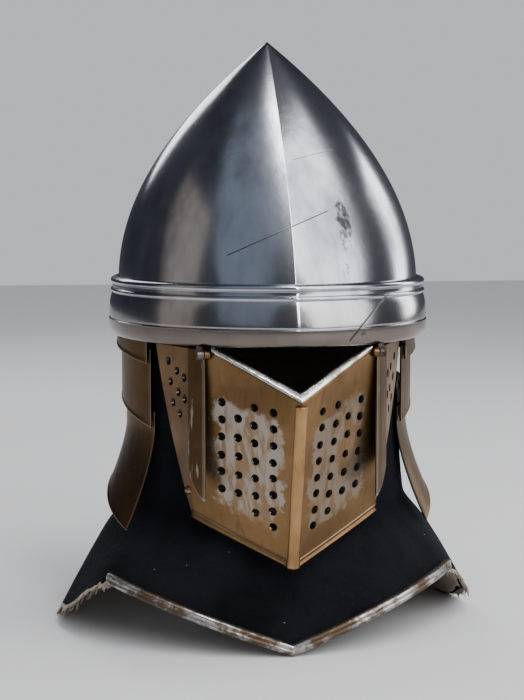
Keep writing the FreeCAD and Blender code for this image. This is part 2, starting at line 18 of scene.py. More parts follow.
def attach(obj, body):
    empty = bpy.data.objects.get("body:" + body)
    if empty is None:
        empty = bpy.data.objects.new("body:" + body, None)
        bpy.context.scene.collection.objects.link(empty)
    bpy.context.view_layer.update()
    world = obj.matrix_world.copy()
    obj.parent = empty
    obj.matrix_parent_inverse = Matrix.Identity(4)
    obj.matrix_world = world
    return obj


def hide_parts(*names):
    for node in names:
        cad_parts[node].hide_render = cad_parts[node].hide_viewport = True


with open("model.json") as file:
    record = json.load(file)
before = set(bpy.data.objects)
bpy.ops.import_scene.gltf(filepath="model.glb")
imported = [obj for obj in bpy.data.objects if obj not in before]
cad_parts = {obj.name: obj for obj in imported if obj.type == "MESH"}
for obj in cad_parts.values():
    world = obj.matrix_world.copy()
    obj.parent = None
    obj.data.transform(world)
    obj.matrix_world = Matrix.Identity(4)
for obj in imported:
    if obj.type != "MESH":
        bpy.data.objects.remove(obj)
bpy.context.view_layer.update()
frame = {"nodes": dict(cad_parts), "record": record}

scene = bpy.context.scene

# %% [markdown]
# ## Millimetres on the bench, metres in the scene
# A maker measures a helmet in millimetres, so the shapes below are written in millimetres,
# and one small function turns a place on the bench into a place in the scene. Finishes and
# bevels are written in metres, as Blender keeps them. The other helpers blend two values,
# name a side as it is seen from in front, and put a mesh into the scene.

# %% Small helpers
def at(x, y, z):
    return Vector((x, y, z)) * 0.001


def soft_step(share):
    share = min(1.0, max(0.0, share))
    return share * share * (3 - 2 * share)


def between(a, b, share):
    return a + (b - a) * share


def side_name(side):
    return "right" if side > 0 else "left"


def plain_object(name, bm):
    mesh = bpy.data.meshes.new(name)
    bm.to_mesh(mesh)
    bm.free()
    piece = bpy.data.objects.new(name, mesh)
    scene.collection.objects.link(piece)
    return piece


print("ten millimetres are", at(10, 0, 0).x, "metres")

# %% [markdown]
# ## Camera
# A lens of medium length stands a little over a metre away, slightly above the brow and a
# little to one side. It looks at the middle of the helmet, and nothing is out of focus.

# %% Place the camera
lens = bpy.data.cameras.new("camera")
lens.sensor_fit = "AUTO"
lens.sensor_width = 36.0
lens.lens = 76.3
camera = bpy.data.objects.new("camera", lens)
camera.location = (-0.1819, -1.0849, 0.3166)
aim = Vector((-0.00244, 0.0, 0.1990)) - camera.location
camera.rotation_euler = aim.to_track_quat("-Z", "Y").to_euler()
scene.collection.objects.link(camera)
scene.camera = camera
print("camera stands", round(aim.length, 3), "m away")

# %% [markdown]
# ## Stage and light
# Polished metal shows its surroundings more than its own colour. So the studio is a pale
# floor, a dim room and six soft boxes: a large one on the right, a weaker one of cool
# daylight in front on the left, one of lamp light far on the left, a narrow strip for the
# keel, and two that outline the back.

# %% Lay the floor
def pale_floor():
    bm = bmesh.new()
    bmesh.ops.create_grid(bm, x_segments=2, y_segments=2, size=4.0)
    floor = plain_object("studio_floor", bm)
    paint = bpy.data.materials.new("floor_paint")
    paint.use_nodes = True
    skin = paint.node_tree.nodes["Principled BSDF"]
    skin.inputs["Base Color"].default_value = (0.60, 0.60, 0.61, 1)
    skin.inputs["Roughness"].default_value = 1.0
    skin.inputs["Specular IOR Level"].default_value = 0.0
    floor.data.materials.append(paint)
    print(floor.name, "is part of the stage")


pale_floor()


# %% Hang the soft boxes
LIT_PLACE = Vector((0, 0, 0.24))


def soft_box(name, place, width, height, power, colour=(1, 1, 1)):
    light = bpy.data.lights.new(name, "AREA")
    light.shape = "RECTANGLE"
    light.size, light.size_y = width, height
    light.energy = power
    light.color = colour
    box = bpy.data.objects.new(name, light)
    box.location = place
    toward = LIT_PLACE - box.location
    box.rotation_euler = toward.to_track_quat("-Z", "Y").to_euler()
    box.visible_camera = False
    scene.collection.objects.link(box)


soft_box("key_box", (0.96, -0.86, 1.16), 1.15, 2.0, 25)
soft_box("side_box", (1.5, 0.55, 0.75), 0.5, 1.1, 9)
soft_box("cool_box", (-0.60, -0.98, 1.30), 0.95, 2.2, 1.9, (0.66, 0.81, 1.0))
soft_box("warm_box", (-1.35, -0.30, 0.80), 0.8, 1.5, 1.3, (1.0, 0.86, 0.72))
soft_box("keel_strip", (0.24, -1.02, 1.38), 0.22, 2.2, 20)
soft_box("back_box", (-0.5, 1.5, 1.3), 0.8, 1.0, 10)


# %% Paint the room
def studio_room():
    """The camera sees a pale wall. The metal sees a dimmer room, so that its form reads."""
    room = bpy.data.worlds.new("studio_room")
    room.use_nodes = True
    tree = room.node_tree
    tree.nodes.clear()
    wall, dim = [tree.nodes.new("ShaderNodeBackground") for _ in range(2)]
    wall.inputs["Color"].default_value = (0.62, 0.63, 0.65, 1)
    dim.inputs["Color"].default_value = (0.050, 0.055, 0.070, 1)
    path = tree.nodes.new("ShaderNodeLightPath")
    mix = tree.nodes.new("ShaderNodeMixShader")
    out = tree.nodes.new("ShaderNodeOutputWorld")
    tree.links.new(path.outputs["Is Glossy Ray"], mix.inputs[0])
    tree.links.new(wall.outputs[0], mix.inputs[1])
    tree.links.new(dim.outputs[0], mix.inputs[2])
    tree.links.new(mix.outputs[0], out.inputs["Surface"])
    scene.world = room
    print(room.name, "has", len(tree.nodes), "nodes")


studio_room()

# %% [markdown]
# ## A shorthand for finishes
# A finish is a network of nodes. Writing it as plain sums is easier to read, so a small class
# wraps one output of a node, and adding or multiplying two of them adds the node that does it.
# Every other node comes from one method, which takes its type, its settings and its inputs.

# %% The shorthand
class Wire:
    def __init__(self, finish, output):
        self.finish, self.output = finish, output

    def _sum(self, operation, left, right):
        return self.finish.add("Math", {"operation": operation}, {0: left, 1: right})

    def __add__(self, other):
        return self._sum("ADD", self, other)

    def __sub__(self, other):
        return self._sum("SUBTRACT", self, other)

    def __rsub__(self, other):
        return self._sum("SUBTRACT", other, self)

    def __mul__(self, other):
        return self._sum("MULTIPLY", self, other)

    __radd__, __rmul__ = __add__, __mul__


class Finish:
    def __init__(self, name, **constants):
        self.material = bpy.data.materials.new(name)
        self.material.use_nodes = True
        self.tree = self.material.node_tree
        self.skin = self.tree.nodes["Principled BSDF"]
        for socket, value in constants.items():
            self.skin.inputs[socket.replace("_", " ")].default_value = value

    def feed(self, socket, value):
        if isinstance(value, Wire):
            self.tree.links.new(value.output, socket)
        else:
            socket.default_value = value

    def add(self, kind, settings=None, inputs=None, out=0):
        node = self.tree.nodes.new("ShaderNode" + kind)
        for key, value in (settings or {}).items():
            setattr(node, key, value)
        for key, value in (inputs or {}).items():
            self.feed(node.inputs[key], value)
        return Wire(self, node.outputs[out])

    def paint(self, **inputs):
        for socket, value in inputs.items():
            self.feed(self.skin.inputs[socket.replace("_", " ")], value)
        return self.material


# %% [markdown]
# A few patterns are used again and again: the place on the piece, a cloud, a stretched cloud,
# a soft threshold, a mixture of two colours, a relief, a straight cut and a soft spot.

# %% Patterns that every finish shares
def place_on(finish):
    return finish.add("TexCoord", out="Object")


def cloud(where, scale, detail=3.0, roughness=0.55):
    return where.finish.add("TexNoise", None, {
        "Vector": where, "Scale": scale, "Detail": detail, "Roughness": roughness})


def stretched(where, scale, detail, roughness=0.55):
    drawn = where.finish.add("Mapping", None, {"Vector": where, "Scale": scale})
    return cloud(drawn, 1.0, detail, roughness)


def threshold(value, low, high):
    return value.finish.add("MapRange", {"interpolation_type": "SMOOTHSTEP"}, {
        "Value": value, "From Min": low, "From Max": high})


def blend_colour(share, first, second):
    return share.finish.add("Mix", {"data_type": "RGBA"}, {0: share, 6: first, 7: second}, out=2)


def relief(height, depth, strength=1.0, under=None):
    inputs = {"Height": height, "Distance": depth, "Strength": strength}
    if under:
        inputs["Normal"] = under
    return height.finish.add("Bump", None, inputs, out="Normal")


def along(where, direction):
    """How far a place lies along a direction, in metres."""
    return where.finish.add("VectorMath", {"operation": "DOT_PRODUCT"}, {
        0: where, 1: tuple(direction)}, out="Value")


def size_of(value):
    return value.finish.add("Math", {"operation": "ABSOLUTE"}, {0: value})


SIGHTED_FROM = Vector((-0.18, -1.08, 0.32))


def stroke(where, start, end, width):
    """A straight cut: the surface close to the plane of start, end and SIGHTED_FROM.

    SIGHTED_FROM is about where the camera stands, so each cut looks straight from there.
    """
    start, end = at(*start), at(*end)
    across = (start - SIGHTED_FROM).cross(end - SIGHTED_FROM).normalized()
    run = (end - start).normalized()
    off = size_of(along(where, across) - start.dot(across))
    travel = along(where, run)
    near = threshold(off, width, width * 0.25)
    begun = threshold(travel, start.dot(run), start.dot(run) + 0.002)
    done = threshold(travel, end.dot(run) + 0.001, end.dot(run) - 0.004)
    front = threshold(along(where, (0, -1, 0)), 0.03, 0.04)
    return near * begun * done * front


def spot(where, middle, radii):
    """A soft round patch about a place, 1 in its middle and 0 past its radii."""
    add = where.finish.add
    shifted = add("VectorMath", {"operation": "SUBTRACT"}, {0: where, 1: tuple(at(*middle))})
    scaled = add("VectorMath", {"operation": "DIVIDE"}, {0: shifted, 1: tuple(at(*radii))})
    far = add("VectorMath", {"operation": "LENGTH"}, {0: scaled}, out="Value")
    return threshold(far, 1.0, 0.35)


# %% [markdown]
# ## Skull steel
# The skull is mild steel, ground and polished by hand, then handled for years. Broad clouds
# of slightly different polish, fine swirls, a few long scratches and a patch of old pitting
# on the wearer's left of the keel tell that story. The scratches are straight cuts, so each
# is the line where a plane meets the dome.

# %% Skull steel
def skull_steel():
    finish = Finish("skull_steel", Metallic=1.0)
    where = place_on(finish)
    broad = cloud(where, 11.0, 4.0)
    streaks = stretched(where, (60.0, 60.0, 9.0), 4.0)
    fine = cloud(where, 420.0, 2.0)
    cuts = stroke(where, (-44.4, -106.8, 273.9), (28, -97.9, 304.1), 0.00055)
    cuts += stroke(where, (5.2, -79.7, 338), (38.3, -65.1, 346), 0.0004) * 0.5
    cuts += stroke(where, (-37.0, -70.0, 341.5), (-27.0, -71.0, 344.0), 0.0004) * 0.5
    cuts += stroke(where, (34.7, -120, 214.1), (66.6, -98.7, 244.5), 0.0009) * 0.8
    pit_zone = spot(where, (37.5, -98, 294), (10, 30, 34))
    pit_zone += spot(where, (36.0, -112, 264), (5, 20, 12)) * 0.8
    pit_zone += spot(where, (44.0, -118, 221), (16, 20, 7)) * 0.55
    rust = stretched(where, (170.0, 170.0, 75.0), 6.0, 0.7)
    pits = threshold(rust + pit_zone * 0.30, 0.72, 0.88)
    pits = pits * threshold(pit_zone, 0.0, 0.15)
    tarnish = threshold(broad + streaks * 0.5, 0.62, 1.0)
    colour = blend_colour(tarnish, (0.50, 0.515, 0.55, 1), (0.22, 0.22, 0.245, 1))
    foot = threshold(along(where, (0, 0, 1)) + broad * 0.035, 0.272, 0.236)
    colour = blend_colour(foot * 0.45, colour, (0.30, 0.25, 0.20, 1))
    lip = threshold(along(where, (0, 0, 1)) + streaks * 0.002, 0.2272, 0.2252)
    colour = blend_colour(lip * 0.8, colour, (0.115, 0.090, 0.070, 1))
    colour = blend_colour(pits * 0.85, colour, (0.03, 0.03, 0.035, 1))
    colour = blend_colour(cuts, colour, (0.02, 0.02, 0.022, 1))
    rough = 0.07 + broad * 0.13 + streaks * 0.07 + fine * 0.04 + pits * 0.35 + cuts * 0.3
    hammer = relief(cloud(where, 26.0, 1.0), 0.0009, 0.22)
    normal = relief(fine * 0.15 - pits * 0.4 - cuts * 0.25, 0.0003, 0.6, hammer)
    return finish.paint(Base_Color=colour, Roughness=rough, Normal=normal)


SKULL_STEEL = skull_steel()
print(SKULL_STEEL.name, "has", len(SKULL_STEEL.node_tree.nodes), "nodes")

# %% [markdown]
# ## Face brass
# The face plate, the corner straps and the lames are an old copper alloy, brown where it was
# left alone and pale where gauntlets rubbed it. One function mixes both. It is told how dull
# and how dark the metal is, whether it has the rubbed patch between its breaths, and whether
# its edges are painted pale. The pale edges are partly edge wear and partly painted highlight.
# On the right half the rubbed patch is painted only half as pale, which is painted shade.

# %% Face brass
def warm_brass(name, rubbed, dull, shade=1.0, worn_and_highlit_edges=True):
    finish = Finish(name, Metallic=1.0)
    where = place_on(finish)
    broad = cloud(where, 22.0, 5.0)
    grain = stretched(where, (190.0, 190.0, 40.0), 5.0)
    fine = cloud(where, 700.0, 2.0)
    colour = blend_colour(threshold(broad, 0.35, 0.7),
                          (0.222 * shade, 0.130 * shade, 0.058 * shade, 1),
                          (0.130 * shade, 0.074 * shade, 0.032 * shade, 1))
    colour = blend_colour(threshold(grain, 0.52, 0.78) * 0.5,
                          colour, (0.085, 0.048, 0.022, 1))
    wear = threshold(grain + broad * 0.6, 0.95, 1.12)
    if rubbed:
        ragged = (cloud(where, 70.0, 5.0, 0.65) - 0.5) * 0.034
        out = size_of(along(where, (1, 0, 0))) + ragged
        height = along(where, (0, 0, 1)) + ragged * 1.4
        patch = threshold(out, 0.0085, 0.0115) * threshold(out, 0.055, 0.050)
        rise = height - out * 0.5
        patch = patch * threshold(rise, 0.079, 0.085)
        patch = patch * threshold(rise, 0.160, 0.153)
        wear = patch * (0.28 + 0.72 * threshold(grain + broad * 0.5, 0.60, 0.84))
        # Painted shade: on the right half the rubbed patch is painted only half as pale.
        wear = wear * (1 - 0.5 * threshold(along(where, (1, 0, 0)), -0.002, 0.003))
    # Pale edges, partly edge wear and partly painted highlight: the foot edge, then on the face
    # plate the raised line above the lip, and on the other plates the front edge.
    if worn_and_highlit_edges:
        pattern = finish.add("TexCoord", out="UV")
        flat = finish.add("SeparateXYZ", None, {"Vector": pattern})
        foot = finish.add("SeparateXYZ", None, {"Vector": pattern}, out="Y")
        edge = threshold(foot + grain * 0.002, 0.0078 if rubbed else 0.0048, 0.002)
        if rubbed:
            line = size_of(foot - 0.0199)
            edge += threshold(line, 0.0034, 0.0012) * 0.6
        else:
            edge += threshold(flat + grain * 0.002, 0.0050, 0.002)
        wear = wear + edge * (0.6 if rubbed else 0.42)
    wear = threshold(wear, 0.0, 1.0)
    colour = blend_colour(wear * 0.85, colour, (0.35, 0.31, 0.265, 1))
    rough = dull + broad * 0.18 + grain * 0.12 - wear * 0.10
    beaten = relief(cloud(where, 60.0, 2.0), 0.0008, 0.35)
    normal = relief(grain * 0.6 + fine * 0.4, 0.0003, 0.55, beaten)
    return finish.paint(Base_Color=colour, Roughness=rough, Normal=normal)


FACE_BRASS = warm_brass("face_brass", True, 0.24)
LAME_BRASS = warm_brass("lame_brass", False, 0.26, 0.55)
# The rib's brass is painted twice as light as the face brass: partly a rubbed ridge, partly painted
# highlight.
RIB_BRASS = warm_brass("rib_brass", False, 0.20, 2.0, False)
KNUCKLE_BRASS = warm_brass("knuckle_brass", False, 0.30, 0.7, False)
print(FACE_BRASS.name, LAME_BRASS.name, RIB_BRASS.name, KNUCKLE_BRASS.name)


# %% [markdown]
# ## Rim steel, hinge steel and fittings
# The sight rim is bright where it is rubbed and brown in the dips, and the hem's channel is
# darker. Hinges and the buckle are smaller and duller. They share one recipe with different
# colours.

# %% Rim steel, hinge steel and fittings
def worn_metal(name, bright, stained, stain, dull):
    finish = Finish(name, Metallic=1.0)
    where = place_on(finish)
    blotch = cloud(where, 48.0, 5.0, 0.65)
    fine = cloud(where, 520.0, 3.0)
    old = threshold(blotch + fine * 0.25, stain, stain + 0.22)
    colour = blend_colour(old, bright, stained)
    rough = dull + old * 0.25 + fine * 0.10
    dents = relief(blotch, 0.0005, 0.45)
    normal = relief(fine, 0.0002, 0.5, dents)
    return finish.paint(Base_Color=colour, Roughness=rough, Normal=normal)


RIM_STEEL = worn_metal("rim_steel", (0.80, 0.79, 0.77, 1), (0.30, 0.23, 0.17, 1), 0.60, 0.20)
HEM_STEEL = worn_metal("hem_steel", (0.46, 0.45, 0.43, 1), (0.11, 0.078, 0.052, 1), 0.50, 0.22)
# The hinge steel is painted very dark, which is painted shade for the hinges under the brow band.
HINGE_STEEL = worn_metal("hinge_steel", (0.13, 0.125, 0.12, 1), (0.06, 0.045, 0.035, 1), 0.55, 0.42)
FITTINGS = worn_metal("fittings_brass", (0.27, 0.19, 0.105, 1), (0.12, 0.075, 0.04, 1), 0.58, 0.30)
print(RIM_STEEL.name, HEM_STEEL.name, HINGE_STEEL.name, FITTINGS.name)


# %% [markdown]
# ## Felt, linen and leather
# The collar is thick black felt with a faint cool nap, a little lint and a nubby surface. Its
# lining is undyed linen in a plain weave, which the piece's own flat pattern carries. From
# about 45 mm up the linen is painted darker, and almost black above 85 mm, which is painted
# shade inside the collar and the skull. The straps are oiled leather with pores.

# %% Collar felt
def collar_felt():
    finish = Finish("collar_felt", Sheen_Weight=0.03, Sheen_Roughness=0.35,
                    Sheen_Tint=(0.62, 0.66, 0.85, 1), Specular_IOR_Level=0.08)
    where = place_on(finish)
    nap = cloud(where, 900.0, 4.0, 0.7)
    tufts = cloud(where, 210.0, 4.0)
    patches = cloud(where, 16.0, 4.0)
    colour = blend_colour(threshold(patches + nap * 0.4, 0.45, 0.95),
                          (0.0022, 0.0022, 0.0028, 1), (0.0070, 0.0074, 0.0105, 1))
    lint = threshold(cloud(where, 330.0, 1.0), 0.79, 0.83)
    lint = lint * threshold(patches, 0.45, 0.6)
    colour = blend_colour(lint * 0.7, colour, (0.32, 0.31, 0.29, 1))
    height = nap * 0.5 + tufts * 0.9 + lint * 0.5
    normal = relief(height, 0.0016, 0.9)
    return finish.paint(Base_Color=colour, Roughness=0.93 - nap * 0.1, Normal=normal)


COLLAR_FELT = collar_felt()


# %% Lining linen
def lining_linen(name, tint):
    finish = Finish(name, Sheen_Weight=0.25)
    where = place_on(finish)
    flat = finish.add("TexCoord", out="UV")
    yarn = {"Vector": flat, "Scale": 230.0, "Distortion": 1.2, "Detail": 2.0}
    warp, weft = [finish.add("TexWave", {"bands_direction": way}, yarn) for way in "XY"]
    weave = warp * weft
    slub = cloud(where, 75.0, 5.0)
    colour = blend_colour(weave, (tint[0] * 0.55, tint[1] * 0.5, tint[2] * 0.45, 1), tint)
    colour = blend_colour(threshold(slub, 0.45, 0.75) * 0.5,
                          colour, (0.26, 0.19, 0.12, 1))
    # Painted shade: from about 45 mm up the linen grows darker, and above 85 mm it is painted
    # almost black, for the shade inside the collar and the skull.
    painted_inner_shade = threshold(along(where, (0, 0, 1)) + slub * 0.03, 0.045, 0.085)
    colour = blend_colour(painted_inner_shade * 0.88, colour, (0.022, 0.017, 0.013, 1))
    normal = relief(weave + slub * 0.5, 0.0006, 0.9)
    return finish.paint(Base_Color=colour, Roughness=0.82 + slub * 0.12, Normal=normal)


LINING_LINEN = lining_linen("collar_linen", (0.50, 0.42, 0.32, 1))
LINER_LINEN = lining_linen("liner_linen", (0.55, 0.48, 0.38, 1))


# %% Strap leather
def strap_leather():
    finish = Finish("strap_leather", Specular_IOR_Level=0.4)
    where = place_on(finish)
    pores = finish.add("TexVoronoi", {"feature": "DISTANCE_TO_EDGE"}, {
        "Vector": where, "Scale": 620.0})
    creases = threshold(pores, 0.0, 0.12)
    broad = cloud(where, 40.0, 5.0)
    colour = blend_colour(broad, (0.050, 0.024, 0.012, 1), (0.17, 0.085, 0.040, 1))
    colour = blend_colour(creases, (0.028, 0.015, 0.009, 1), colour)
    normal = relief(creases + broad * 0.5, 0.0004, 0.7)
    return finish.paint(Base_Color=colour, Roughness=0.60 - creases * 0.14, Normal=normal)


LEATHER = strap_leather()
print("cloth and leather:", COLLAR_FELT.name, LINING_LINEN.name, LINER_LINEN.name, LEATHER.name)

# %% [markdown]
# ## How a sheet becomes a piece
# Nearly every part of a helmet is a sheet: flat stock that is bent. So one helper starts from
# a flat grid and bends it, and asks a function where each point of the grid goes. It keeps
# the flat grid as the piece's pattern, so that a weave follows the cloth. A second helper
# gives the sheet its wall, rounds the edges, hangs it on its body and hides the parts of the
# working model that it replaces.

# %% Bend a grid
def placed_grid(across, up, place, size):
    """place(u, v) gives a point for each share across and up. size is the flat size, in metres."""
    bm = bmesh.new()
    bmesh.ops.create_grid(bm, x_segments=across, y_segments=up, size=0.5)
    pattern = bm.loops.layers.uv.new("UVMap")
    for face in bm.faces:
        for loop in face.loops:
            flat = loop.vert.co
            loop[pattern].uv = ((flat.x + 0.5) * size[0], (flat.y + 0.5) * size[1])
    for vert in bm.verts:
        vert.co = place(vert.co.x + 0.5, vert.co.y + 0.5)
    return bm


def bent_grid(across, up, place, size, middle):
    """A bent sheet whose faces look away from middle."""
    bm = placed_grid(across, up, place, size)
    bmesh.ops.remove_doubles(bm, verts=bm.verts, dist=0.00002)
    bmesh.ops.dissolve_degenerate(bm, edges=bm.edges, dist=0.00001)
    face_away(bm, at(*middle))
    return bm


def face_away(bm, middle):
    bmesh.ops.recalc_face_normals(bm, faces=bm.faces)
    lean = sum((f.calc_center_median() - middle).dot(f.normal) * f.calc_area() for f in bm.faces)
    if lean < 0:
        bmesh.ops.reverse_faces(bm, faces=bm.faces)


# %% Give it a wall and put it on the helmet
def finish_piece(name, bm, finish, body, nodes, wall=0.0, edge=0.4, smooth=0):
    piece = plain_object(name, bm)
    mesh = piece.data
    mesh.shade_smooth()
    mesh.materials.append(finish)
    if smooth:
        rounding = piece.modifiers.new("smooth", "SUBSURF")
        rounding.levels = rounding.render_levels = smooth
    if wall:
        sheet = piece.modifiers.new("wall", "SOLIDIFY")
        sheet.thickness = wall * 0.001
        sheet.offset = -1
        sheet.use_even_offset = True
    if edge:
        bevel = piece.modifiers.new("edge", "BEVEL")
        bevel.width = edge * 0.001
        bevel.segments = 2
        bevel.limit_method = "ANGLE"
        bevel.angle_limit = math.radians(38)
        piece.modifiers.new("shading", "WEIGHTED_NORMAL").keep_sharp = True
    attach(piece, body)
    if nodes:
        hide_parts(*nodes)
    print(name, "-", len(mesh.polygons), "faces before its wall")
    return piece


# %% [markdown]
# ## The outline of the skull, seen from above
# The skull is nearly round, but it comes to a faint edge at the front, the keel, where two
# curved halves meet. Each quarter is one Bezier curve. The crease says how far the two sides
# lean back from the keel, and the back has almost none.

# %% The outline
CROWN_Y = -7.5
BROW_Z = 217.0
SPRING_Z = 252.0
APEX_Z = 424.3
SKULL_FOOT = 223.0
HALF_WIDTH, FRONT_REACH, BACK_REACH = 108.8, 115.5, 118.0


def outline(turn, half, front, back):
    """x and y round the skull. turn is 0 at the keel, 0.25 at the right, 0.5 at the back."""
    quarter = min(int(turn * 4), 3)
    share = turn * 4 - quarter
    side = 1 if quarter < 2 else -1
    if quarter in (1, 3):
        share = 1 - share
    reach, sign, crease = (front, -1, 0.11) if quarter in (0, 3) else (back, 1, 0.03)
    a, b, c = (1 - share) ** 3, 3 * share * (1 - share) ** 2, 3 * share ** 2 * (1 - share)
    d = share ** 3
    x = b * 0.52 * half + (c + d) * half
    y = a * reach + b * (reach - 0.52 * half * crease) + c * 0.60 * reach
    return side * x, CROWN_Y + sign * y


def skull_reach(z):
    t = max(0.0, (z - SPRING_Z) / (APEX_Z - SPRING_Z))
    return (HALF_WIDTH * (1 - t ** 2.0), FRONT_REACH * (1 - t ** 1.42),
            BACK_REACH * (1 - t ** 1.75))


# %% [markdown]
# ## Skull
# A smith raises the bowl from one sheet and then sharpens the keel. We bend a grid over the
# outline, level by level, until it closes at the apex. The keel is then bevelled into a strip
# about four millimetres wide, which is what catches the light, and the sheet gets its wall.

# %% Skull
def skull_point(u, v):
    z = SKULL_FOOT + (APEX_Z - SKULL_FOOT) * v
    x, y = outline(u, *skull_reach(z))
    return at(x, y, z)


def on_keel(vert):
    return abs(vert.co.x) < 0.0001 and vert.co.y < -0.0115


def flatten_keel(bm, offset, segments):
    keel = [e for e in bm.edges if on_keel(e.verts[0]) and on_keel(e.verts[1])]
    bmesh.ops.bevel(bm, geom=keel, offset=offset, offset_type="OFFSET", affect="EDGES",
                    segments=segments, profile=0.5, material=-1, clamp_overlap=True)


def raise_skull():
    bm = bent_grid(144, 72, skull_point, (0.7, 0.2), (0, -7, 260))
    flatten_keel(bm, 0.0021, 4)
    return finish_piece("skull_bowl", bm, SKULL_STEEL, "skull", ["skull"], 2.0)


raise_skull()

# %% [markdown]
# ## Brow band
# The band is one strip with a moulded face: a lip that curls under, an engraved line, a broad
# plain face, and two raised cords along the top. Its section is a closed loop of heights and
# distances from the skull, at the side and at the keel. The loop is carried round the outline.

# %% Brow band
BAND_SECTION = [
    (-3.4, 2.5, 6.7), (-2.9, 4.0, 8.2), (-1.2, 5.5, 9.7), (0.8, 6.4, 10.6), (2.8, 6.8, 11.0),
    (6.0, 7.1, 11.2), (8.5, 7.3, 11.2), (9.0, 6.5, 10.3), (9.7, 6.4, 10.2), (10.2, 6.9, 10.6),
    (14.0, 6.9, 10.1), (20.0, 6.6, 8.8), (24.5, 5.6, 7.5), (26.8, 4.8, 6.4), (27.4, 4.5, 6.0),
    (28.0, 5.4, 6.9), (29.0, 5.9, 7.3), (30.1, 5.5, 6.9), (30.9, 4.3, 5.6), (32.0, 4.4, 5.3),
    (33.6, 4.3, 5.1), (34.2, 4.9, 5.6), (35.2, 5.7, 6.3), (36.4, 5.7, 6.2), (37.6, 4.9, 5.3),
    (38.4, 3.4, 3.8), (38.8, 1.3, 1.3), (38.6, 0.6, 0.6), (34.0, 0.5, 0.5), (29.0, 0.5, 0.5),
    (27.0, 2.8, 4.4), (20.0, 4.7, 6.8), (9.6, 4.5, 8.3), (2.8, 4.8, 9.0), (-1.2, 3.4, 7.6),
    (-3.3, 1.2, 5.0),
]


def band_point(u, v):
    step = v * len(BAND_SECTION)
    i = int(round(step)) % len(BAND_SECTION)
    height, side, nose = BAND_SECTION[i]
    x, y = outline(u, HALF_WIDTH + side, FRONT_REACH + nose, BACK_REACH + side + 0.6)
    return at(x, y, BROW_Z + height)


def brow_band():
    bm = bent_grid(160, len(BAND_SECTION), band_point, (0.7, 0.09), (0, 0, 200))
    bmesh.ops.recalc_face_normals(bm, faces=bm.faces)
    flatten_keel(bm, 0.0014, 3)
    return finish_piece("brow_band_moulded", bm, SKULL_STEEL, "skull", ["brow_band"],
                        edge=0.25)


brow_band()

# %% [markdown]
# ## Face plate
# Two leaning panels meet in a prow, and a narrow wall runs back from each to the ear. We bend
# one wide grid into all four at once. Near the lower edge the grid is fine, so that the edge
# can roll into a lip with a thin raised line above it. Then the wall is added, and breaths and
# the gaps for the hinge are punched through with a set of cutters.

# %% The shape of the face plate
PROW_Y, PROW_FOOT, PROW_TOP = -146.0, 60.9, 178.4
LEAN = (146.0 - 115.6) / (PROW_TOP - PROW_FOOT)
CORNER_FOOT, PLATE_TOP = 92.0, 211.5
SIGHT_RISE, LIP_RISE = 0.572, 0.472
PANEL_SHARE = 0.66          # how much of the half width is panel, and not wall
FINE_SHARE, FINE_ROWS = 0.062, 0.22     # the foot of the plate takes more of the rows
HINGE_Y, HINGE_Z = -109.5, 208.0


def prow_slope(z):
    return 0.643 + 0.134 * (z - 90.4) / 121.2


def prow_y(x, z):
    return PROW_Y + LEAN * (PROW_TOP - z) + prow_slope(z) * abs(x)


def wall_rear(z):
    up = z - CORNER_FOOT
    return 64.3 + 0.265 * up - 0.00062 * up * up, -80.5 + 0.17 * up


def wall_front(z):
    corner = 67.0 - 3.0 * soft_step((125.0 - z) / 33.0)
    share = soft_step((150.0 - z) / 38.0)
    return between(68.5, corner, share), between(-96.1, prow_y(corner, z), share)


def rolled_edge(reach):
    """How far the sheet stands out, this far in from its lower edge."""
    return (1.6 * math.exp(-((reach - 1.1) / 1.0) ** 2)
            + 0.75 * math.exp(-((reach - 4.7) / 0.62) ** 2))


def face_point(u, v):
    side = 1 if u >= 0.5 else -1
    out = abs(u - 0.5) * 2
    if v < FINE_ROWS:
        v = v / FINE_ROWS * FINE_SHARE
    else:
        v = between(FINE_SHARE, 1.0, (v - FINE_ROWS) / 0.78)
    corner_z = between(CORNER_FOOT, PLATE_TOP, v)
    corner_x, corner_y = wall_front(corner_z)
    share = min(1.0, out / PANEL_SHARE)
    x = share * corner_x
    low = PROW_FOOT + LIP_RISE * x + 0.9 * share ** 4
    z = between(low, min(PROW_TOP + SIGHT_RISE * x, PLATE_TOP), v)
    y = prow_y(x, z) + share ** 6 * (corner_y - prow_y(corner_x, corner_z))
    normal = Vector((prow_slope(z), -1.0, -LEAN)).normalized()
    if out > PANEL_SHARE:
        z = corner_z
        back = (out - PANEL_SHARE) / (1 - PANEL_SHARE)
        rear_x, rear_y = wall_rear(z)
        x, y = between(corner_x, rear_x, back), between(corner_y, rear_y, back)
        normal = Vector((0.9, -0.437, 0.0))
        low = CORNER_FOOT
    swell = rolled_edge(z - low) * 0.95
    x, y, z = x + normal.x * swell, y + normal.y * swell, z + normal.z * swell
    return at(side * x, y, z)


# %% [markdown]
# The breaths were punched by hand, in columns that spread towards the top. A seeded random
# number moves each by a few tenths of a millimetre, so that no two rows are quite alike.

# %% The punch set
BREATH_COLUMNS = [
    (16.8, 14.0, 171.7, 90.6, 8), (28.4, 24.7, 174.3, 99.9, 7),
    (37.7, 36.0, 165.7, 112.9, 5), (47.7, 46.5, 176.5, 115.5, 6),
]
SIDE_COLUMNS = [(0.34, 201.0, 14.2, 3), (0.60, 195.0, 14.6, 3), (0.84, 191.0, 15.0, 2)]


def punch(bm, middle, direction, radius, depth):
    turn = direction.to_track_quat("Z", "Y").to_matrix().to_4x4()
    bmesh.ops.create_cone(bm, cap_ends=True, segments=22, radius1=radius * 0.001,
                          radius2=radius * 0.001, depth=depth * 0.001,
                          matrix=Matrix.Translation(at(*middle)) @ turn)


